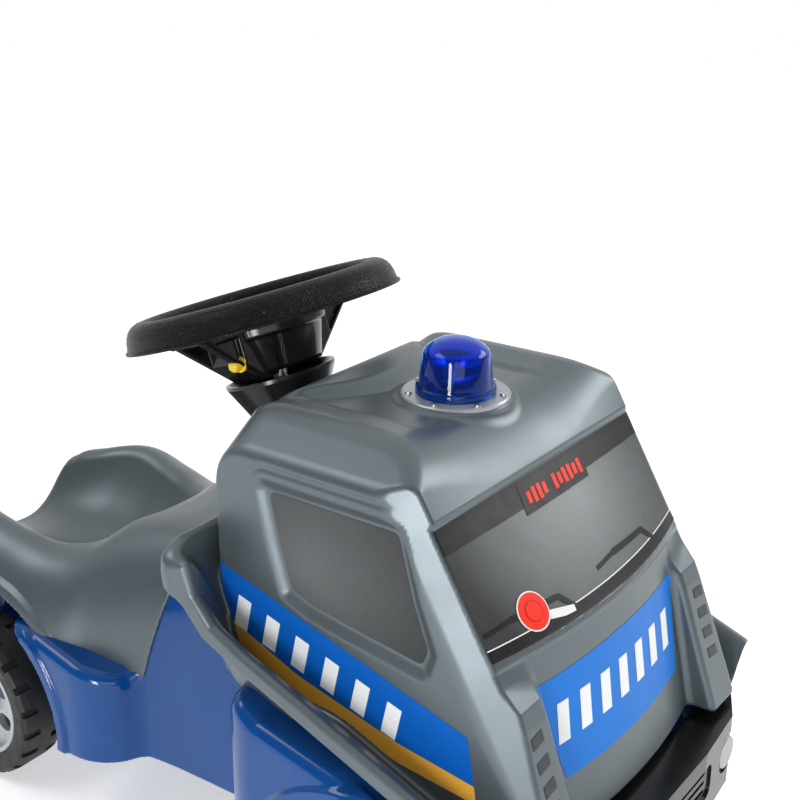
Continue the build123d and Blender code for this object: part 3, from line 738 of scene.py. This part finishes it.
def brushed(name, colour, rough):
    """Metal with fine lines along one direction."""
    made = Finish(name, rough, Metallic=1.0)
    made.colours(made.noise(60, 4, (1, 8, 1)), (0.3, near(colour, -0.12)), (0.7, near(colour, 0.1)))
    made.roughness(made.noise(200, 3), rough * 0.7, rough * 1.3)
    made.bump(made.noise(900, 3, (1, 12, 1)), 0.3, 0.00006)
    return made.material


def rubber(name):
    """Matte black rubber, dusty in patches."""
    made = Finish(name, 0.55, Specular_IOR_Level=0.35)
    made.colours(made.noise(30, 6), (0.3, (0.012, 0.012, 0.013)), (0.7, (0.03, 0.03, 0.031)))
    made.roughness(made.noise(80, 4), 0.45, 0.66)
    made.bump(made.noise(700, 4), 0.5, 0.0002)
    return made.material


def tinted(name, colour, through, rough):
    """Clear coloured plastic with faint flow lines."""
    made = Finish(name, rough, Transmission_Weight=through, IOR=1.35)
    made.colours(made.noise(24, 3, (1, 1, 0.3)), (0.3, near(colour, -0.12)), (0.7, near(colour, 0.12)))
    made.roughness(made.noise(60, 3), rough * 0.8, rough * 1.3)
    made.bump(made.noise(70, 2, (1, 1, 0.25)), 0.15, 0.0005)
    return made.material


GREY = shell_finish()
BLUE = glossy_body()
BLACK = plastic(
    "black_plastic", (0.006, 0.006, 0.006), 0.2, vary=0.3, grain=0.0001, grain_scale=900,
    Specular_IOR_Level=0.35,
)
GRAIN = leather_grain("wheel_grain", (0.0045, 0.0045, 0.0045), 0.3, 620, 0.0006)
FINISHES = {
    "grey_shell": GREY,
    "blue_body": BLUE,
    "black_plastic": BLACK,
    "lamp_clear": tinted("lamp_clear", (0.8, 0.83, 0.85), 0.6, 0.08),
    "grey_ring": plastic("grey_ring", (0.33, 0.35, 0.38), 0.3, Metallic=0.25, Coat_Weight=0.3),
    "steel": brushed("steel", (0.62, 0.62, 0.6), 0.28),
    "beacon_blue": tinted("beacon_blue", (0.002, 0.11, 0.68), 0.92, 0.04),
    "reflector": brushed("reflector", (0.85, 0.87, 0.9), 0.15),
    "lamp_white": plastic("lamp_white", (0.85, 0.87, 0.9), 0.3),
    "bush_white": plastic("bush_white", (0.75, 0.74, 0.7), 0.4),
    "yellow_plastic": plastic("yellow_plastic", (0.8, 0.55, 0.02), 0.3),
    "tyre_black": rubber("tyre_black"),
    "rim_silver": plastic("rim_silver", (0.42, 0.44, 0.46), 0.3, Metallic=0.5),
    "cap_blue": plastic("cap_blue", (0.004, 0.05, 0.34), 0.2, Coat_Weight=0.6),
}


def dress(obj, material):
    """The object in one material."""
    obj.data.materials.clear()
    obj.data.materials.append(material)


for part in frame["record"]["subparts"]:
    dress(NODES[part["node"]], FINISHES[part["material_slot"]])

# ------------------------------------------------------------------ the two grey shells
SHELL_STEP, TUB_STEP, HUB_STEP = 2.1, 2.6, 1.7
cab_piece = skin(shell, (50, 0, 140), (374, 194, 440), SHELL_STEP, "cab_shell")
dress(cab_piece, GREY)
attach(cab_piece, "chassis")
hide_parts("front_shell")
seat_piece = skin(seat, (-394, 0, 120), (86, 156, 300), SHELL_STEP, "seat_saddle")
dress(seat_piece, GREY)
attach(seat_piece, "chassis")
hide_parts("seat_shell")

# ------------------------------------------------------------------ the blue body
TUB_FRONT = [(112, 40), (112, 205), (128, 196), (202, 180), (332, 128), (336, 40)]
TUB_REAR = [(-346, 40), (-361, 108), (-338, 142), (-165, 151), (-80, 130), (-80, 40)]
TUB_TUNNEL = [(-110, 40), (-110, 140), (-66, 134), (-46, 222), (88, 222), (88, 40)]
CAB_CAVITY = [(100, 114), (100, 300), (114, 280), (200, 236), (340, 180), (340, 114)]
TUNNEL_CAVITY = [(-102, 30), (-102, 142), (-70, 132), (-40, 208), (88, 208), (88, 30)]
TUB_FOOT = 60
ARCHES = ((WHEEL_FRONT_X, 172), (WHEEL_REAR_X, 137))  # each wheel's centre and the body's face beside it
ARCH_R, ARCH_LIP_R = 106, 112
AXLE_HOLE, SHAFT_HOLE, BUSH_HOLE = 9, 13.0, 10.0
LEAN = math.radians(19)
WHEEL_AT = (-8, 0, 462)


def block_of(x, y, z, side, lo, hi, half, corner, grow, soft):
    """A block with a side outline grown by a radius, rounded in plan at its corners."""
    mid, reach = (lo + hi) / 2, (hi - lo) / 2
    dx, dy = np.abs(x - mid) - reach + corner, y - half + corner
    plan = np.hypot(np.maximum(dx, 0), np.maximum(dy, 0)) + np.minimum(np.maximum(dx, dy), 0) - corner
    return cap(polygon(x, z, side) - grow, plan, soft)


def tub(x, y, z):
    """The blue body: two blocks, the tunnel between them, four wheel arches and the hollows inside."""
    front = block_of(x, y, z, TUB_FRONT, 90, 357, 180, 40, 18, 12)
    rear = block_of(x, y, z, TUB_REAR, -381, -62, 146, 52, 16, 10)
    saddle = seat_outer(x, y, z)
    tunnel = cap(polygon(x, z, TUB_TUNNEL) - 6, saddle + 2.4, 4)
    f = join(join(front, tunnel, 12), rear, 12)
    for centre, face in ARCHES:
        arch = np.hypot(x - centre, z - WHEEL_Z)
        # a raised lip round each arch
        f = f - 3.6 * (1 - ramp(np.abs(arch - ARCH_LIP_R), 3.5, 8)) * ramp(y, face - 8, face)
    f = cap(f, TUB_FOOT - z, 3)
    hollows = [
        np.maximum(np.maximum(92 - x, x - 348), np.maximum(y - 174, z - 108)),
        np.maximum(np.maximum(-358 - x, x + 72), np.maximum(y - 86, z - 136)),
        np.maximum(polygon(x, z, TUNNEL_CAVITY), saddle + 9),
        np.maximum(polygon(x, z, CAB_CAVITY), y - 86),
        np.maximum(np.hypot(x - WHEEL_REAR_X, z - WHEEL_Z) - AXLE_HOLE, y - 94),
    ]
    across = (x - WHEEL_AT[0]) * math.cos(LEAN) + (z - WHEEL_AT[2]) * math.sin(LEAN)
    shaft_hole = np.where(z < 130, BUSH_HOLE, SHAFT_HOLE)
    hollows.append(np.maximum(np.hypot(across, y) - shaft_hole, 96 - z))
    for hollow in hollows:
        f = cut(f, hollow, WALL_EDGE)
    for centre, _ in ARCHES:
        f = cut(f, cap(np.hypot(x - centre, z - WHEEL_Z) - ARCH_R, ARCH_DEPTH - y, 2), 2.5)
    return cap(f, TUB_FOOT - z, WALL_EDGE)


tub_piece = skin(tub, (-386, 0, 54), (362, 188, 240), TUB_STEP, "blue_tub")
dress(tub_piece, BLUE)
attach(tub_piece, "chassis")
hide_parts("chassis_front", "chassis_tunnel", "chassis_rear")

# ------------------------------------------------------------------ steering wheel
WHEEL_AXES = [(math.cos(LEAN), 0, math.sin(LEAN)), (0, 1, 0), (-math.sin(LEAN), 0, math.cos(LEAN))]
UPRIGHT = [(1, 0, 0), (0, 1, 0), (0, 0, 1)]
RIM = [
    (115.0, -14.5), (115.0, -12.6), (113.4, -11.8), (112.8, -9.6), (112.0, -5.0), (110.6, -0.6),
    (108.4, 3.2), (105.2, 6.2), (101.2, 8.0), (97.2, 8.5), (93.4, 7.4), (90.6, 5.0), (88.8, 1.4),
    (88.2, -3), (88.4, -8), (89.6, -11.4), (92.0, -13.2), (98.0, -13.9), (107.0, -13.9), (110.0, -14.5),
]
HUB_R, HUB_TOP, HUB_FOOT, SPOKE_TO = 49, 6.5, 56.2, 92


def wheel_hub(u, y, w):
    """The hub, its fluted cone and three deep spokes, in the wheel's own axes."""
    r = np.hypot(u, y)
    turn = np.arctan2(y, u)
    flutes = 2.6 * (1 - ramp(np.abs(np.sin(turn * 4 + 0.4)), 0.18, 0.42)) * ramp(-w, 22, 28)
    cone = (r + flutes - (47 + (w + 20) * 0.27)) * 0.95
    body = cap(cap(cone, w + HUB_TOP, 3), -HUB_FOOT - w, 3)
    step = cap(cap(r - HUB_R, w + HUB_TOP, 2), -26 - w, 2)
    body = join(body, step, 2)
    # one spoke towards each side and one towards the driver
    for along, across, half in ((y, np.abs(u), 19.0), (-u, y, 16.5)):
        under = -18 - np.maximum(88 - along, 0) * 0.80
        spoke = cap(cap(across - half, w + 7, 2), under - w, 5)
        spoke = cap(cap(spoke, along - SPOKE_TO, 1), 20 - along, 1)
        pocket = np.maximum(half - 4.5 - across, np.maximum(w + 21, under + 5 - w))
        spoke = cut(spoke, np.maximum(pocket, np.maximum(52 - along, along - 86)), 1.5)
        # the hollow of the spoke shows as a dark channel between its two ribs
        channel = np.maximum(np.maximum(across - half + 9, w + 19), 60 - along)
        spoke = cut(spoke, channel, 1.5)
        body = join(body, spoke, 3)
    return cut(body, np.maximum(r - 34.6, -9.2 - w), 0.5)


BUTTON = [(0, 9.0), (2.6, 8.8), (4.4, 7.8), (5.2, 6.2), (5.2, 0.8), (6.6, 0.4), (6.6, -4), (0, -4)]
BUTTON_AT = Vector(WHEEL_AT) + Vector(turned((12, -53, -42), WHEEL_AXES))
BUTTON_AXES = [WHEEL_AXES[0], WHEEL_AXES[2], (0, -1, 0)]
button = lathe("horn_cap", BUTTON, BUTTON_AXES, BUTTON_AT, 48)
dress(button, FINISHES["yellow_plastic"])
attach(button, "horn")
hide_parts("horn_button")
rim = lathe("steering_rim", RIM, WHEEL_AXES, WHEEL_AT, 160)
dress(rim, GRAIN)
hub = skin(wheel_hub, (-96, 0, -60), (60, 96, -2), HUB_STEP, "steering_hub", WHEEL_AXES, WHEEL_AT)
dress(hub, BLACK)
for piece in (rim, hub):
    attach(piece, "steering")
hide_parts("steering_wheel")
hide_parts("sound_box")

# ------------------------------------------------------------------ beacon dome
DOME = [
    (0, 44.6), (5, 44.4), (10, 43.6), (14, 42.3), (18, 40.2), (22, 37.2), (24.2, 34.8), (24.9, 33.0),
    (25.2, 32.0), (27.6, 11.6), (28.0, 9.2), (29.8, 8.4), (30.2, 7.4), (30.2, 3.4), (25.4, 3.4),
    (25.4, 10.0), (23.4, 30.6), (21.6, 34.0), (17, 37.2), (12, 39.8), (5, 41.4), (0, 41.6),
]
LENSES, LENS_DEPTH = 40, 0.16


def dome_ribs(turn, r, h):
    """Fine upright lenses inside the wall."""
    inside = 9 < h < 32 and 23 < r < 25.5
    return r - LENS_DEPTH * (1 + math.cos(LENSES * turn)) if inside else r


dome = lathe("beacon_lens", DOME, UPRIGHT, (BEACON_X, 0, 422), 144, dome_ribs, crease=24)
dress(dome, FINISHES["beacon_blue"])
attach(dome, "beacon_cap")
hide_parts("beacon_dome")

# ------------------------------------------------------------------ films
SIDEWAYS = 1
SLOPE = 0.79  # drop in height for each millimetre down the windscreen
# the windows' films: dark print with a painted reflection in a light middle
SIDE_FILM = film_with_painted_reflection(
    "side_film", (0.16, 0, 0.33), 0.12, (0.105, 0.113, 0.116), (0.03, 0.032, 0.033), (1, 0, 1.2)
)
SCREEN_FILM = film_with_painted_reflection(
    "screen_film", (0, 0.02, 0.358), 0.15, (0.27, 0.295, 0.3), (0.045, 0.048, 0.05), (0, 1, 1.6)
)
BLACK_FILM = print_finish("black_film", (0.018, 0.018, 0.0175))
BLUE_FILM = print_finish("blue_film", (0.003, 0.095, 0.42))
YELLOW_FILM = print_finish("yellow_film", (0.72, 0.36, 0.045))
WHITE_FILM = print_finish("white_film", (0.8, 0.82, 0.82))
RED_FILM = print_finish("red_film", (0.9, 0.03, 0.015))
DARK_RED_FILM = print_finish("dark_red_film", (0.5, 0.02, 0.012))
FRONT_FILM = print_finish("front_film", (0.005, 0.17, 0.62))
# dark grey sheets as painted shade for the cheeks' recessed vents
VENT_SHADE_FILM = print_finish("vent_shade_film", (0.05, 0.056, 0.06))
BLUE_BAND = [
    (78, 312), (150, 291.5), (228, 269), (296, 249.5), (302, 214), (240, 222), (150, 243), (78, 271),
]
YELLOW_BAND = [
    (78, 270.6), (150, 242.6), (240, 221.6), (302, 213.6), (304, 200), (240, 206), (150, 226), (110, 234),
    (90, 243), (78.5, 256),
]


def across_screen(half, lo, hi):
    """A rectangle across the windscreen."""
    return [(-half, lo), (half, lo), (half, hi), (-half, hi)]


def slanted(points, x, z):
    """An outline moved to (x, z)."""
    return [(x + dx, z + dz) for dx, dz in points]


# the sides: a window, a blue band with slanted white bars, and a yellow band under it
SIDE_BAR = [(0, 0), (12, -3.4), (6, -29), (-6, -25.6)]
SIDE_BARS, SIDE_BAR_PITCH, BAND_FALL = 6, 27, 0.283
for side_name, sign in (("left", 1), ("right", -1)):
    on_this = on_side(sign)
    film(f"window_{side_name}", rounded(SIDE_WINDOW, 6), on_this, SIDE_FILM, axis=SIDEWAYS)
    film(f"blue_band_{side_name}", BLUE_BAND, on_this, BLUE_FILM, axis=SIDEWAYS)
    film(f"yellow_band_{side_name}", YELLOW_BAND, on_this, YELLOW_FILM, axis=SIDEWAYS)
    for k in range(SIDE_BARS):
        x = 96 + SIDE_BAR_PITCH * k
        top = 306 - BAND_FALL * (x - 77) - 10
        bar = slanted(SIDE_BAR, x, top)
        film(f"band_bar_{side_name}_{k}", bar, on_this, WHITE_FILM, lift=0.55, axis=SIDEWAYS)

# the windscreen: its dark band above, the sign on it, and the foot line
film("screen", rounded(across_screen(134.6, 302.6, 383.4), 3), on_screen, SCREEN_FILM)
film("screen_band", across_screen(134.4, 368, 383.2), on_screen, BLACK_FILM, lift=0.5)
film("screen_foot", across_screen(134.4, 302.6, 309.6), on_screen, BLACK_FILM, lift=0.5)
film("screen_line", across_screen(134, 309.6, 310.3), on_screen, WHITE_FILM, lift=0.5)
film("sign", [(-42, 363.5), (45.5, 363.5), (51.5, 380.5), (-37, 380.5)], on_screen, BLACK_FILM, lift=0.8)
SIGN_Z, SIGN_BARS, SIGN_GAP, SIGN_PITCH = 371.8, 11, 4, 7.1
for k in range(SIGN_BARS):
    if k != SIGN_GAP:
        y = -33.5 + SIGN_PITCH * k
        tall = 4.3 if k % 3 else 3.2
        bar = [
            (y, SIGN_Z - tall), (y + 4.4, SIGN_Z - tall), (y + 6.4, SIGN_Z + tall), (y + 2, SIGN_Z + tall),
        ]
        film(f"sign_bar_{k}", bar, on_screen, RED_FILM, lift=1.05)

# wipers and the signal disc
WIPER = [
    (-4, 317.0), (22, 318.6), (22, 318.0), (70, 316.6), (84, 305.8), (89, 305.8), (74, 319.4), (70, 320),
    (23, 321.8), (23, 321.2), (-4, 319.6),
]
for name, shift in (("left", 0), ("right", -128)):
    film(f"wiper_{name}", slanted(WIPER, shift, 0), on_screen, BLACK_FILM, lift=0.7)
HANDLE = [(-72, 309.5), (-72, 314.8), (-46, 310), (-47, 306.4), (-58, 307)]
film("signal_handle", HANDLE, on_screen, WHITE_FILM, lift=0.9)
for name, radius, finish, lift in (
    ("edge", 14.6, WHITE_FILM, 1.05), ("disc", 13.4, RED_FILM, 1.3), ("ring", 7.8, DARK_RED_FILM, 1.5),
    ("middle", 7.0, RED_FILM, 1.7),
):
    film(f"signal_{name}", ring(-84, 318.2, radius, SLOPE), on_screen, finish, lift=lift)

# the front panel with its slanted white bars
PANEL = [(-102, 273), (0, 274.5), (102, 273), (86, 200), (-86, 200)]
FRONT_BAR = [(-4, 226), (8, 226), (12, 254), (0, 254)]
FRONT_BARS, FRONT_BAR_PITCH = 7, 25.5
film("front_panel", rounded(PANEL, 3), on_front, FRONT_FILM)
for k in range(FRONT_BARS):
    bar = slanted(FRONT_BAR, -84 + FRONT_BAR_PITCH * k, 0)
    film(f"front_bar_{k}", bar, on_front, WHITE_FILM, lift=0.6)

# the vents on the cheeks: dark grey sheets as painted shade where the recessed vents are shaded
VENTS, VENT_PITCH = 4, 16
for side_name, sign in (("left", 1), ("right", -1)):
    for k in range(VENTS):
        z = 251 - VENT_PITCH * k
        near_y, far_y = sign * 117, sign * 131
        vent = [(near_y, z - 2.6), (far_y, z - 4.0), (far_y, z + 3.6), (near_y, z + 5.0)]
        film(f"vent_{side_name}_{k}", vent, on_cheek, VENT_SHADE_FILM, lift=0.4)

# ------------------------------------------------------------------ floor
FLOOR_HALF, FLOOR_Z = 6000.0, -0.5
corners = [(x * FLOOR_HALF, y * FLOOR_HALF, FLOOR_Z) for x, y in ((-1, -1), (1, -1), (1, 1), (-1, 1))]
floor = solid_mesh("floor", corners, [(0, 1, 2, 3)])
pale = Finish("pale_floor", 0.75)
pale.colours(pale.noise(3, 3), (0.3, (0.88, 0.885, 0.89)), (0.7, (0.92, 0.92, 0.925)))
pale.shader.inputs["Emission Color"].default_value = WHITE
pale.shader.inputs["Emission Strength"].default_value = 0.45
dress(floor, pale.material)
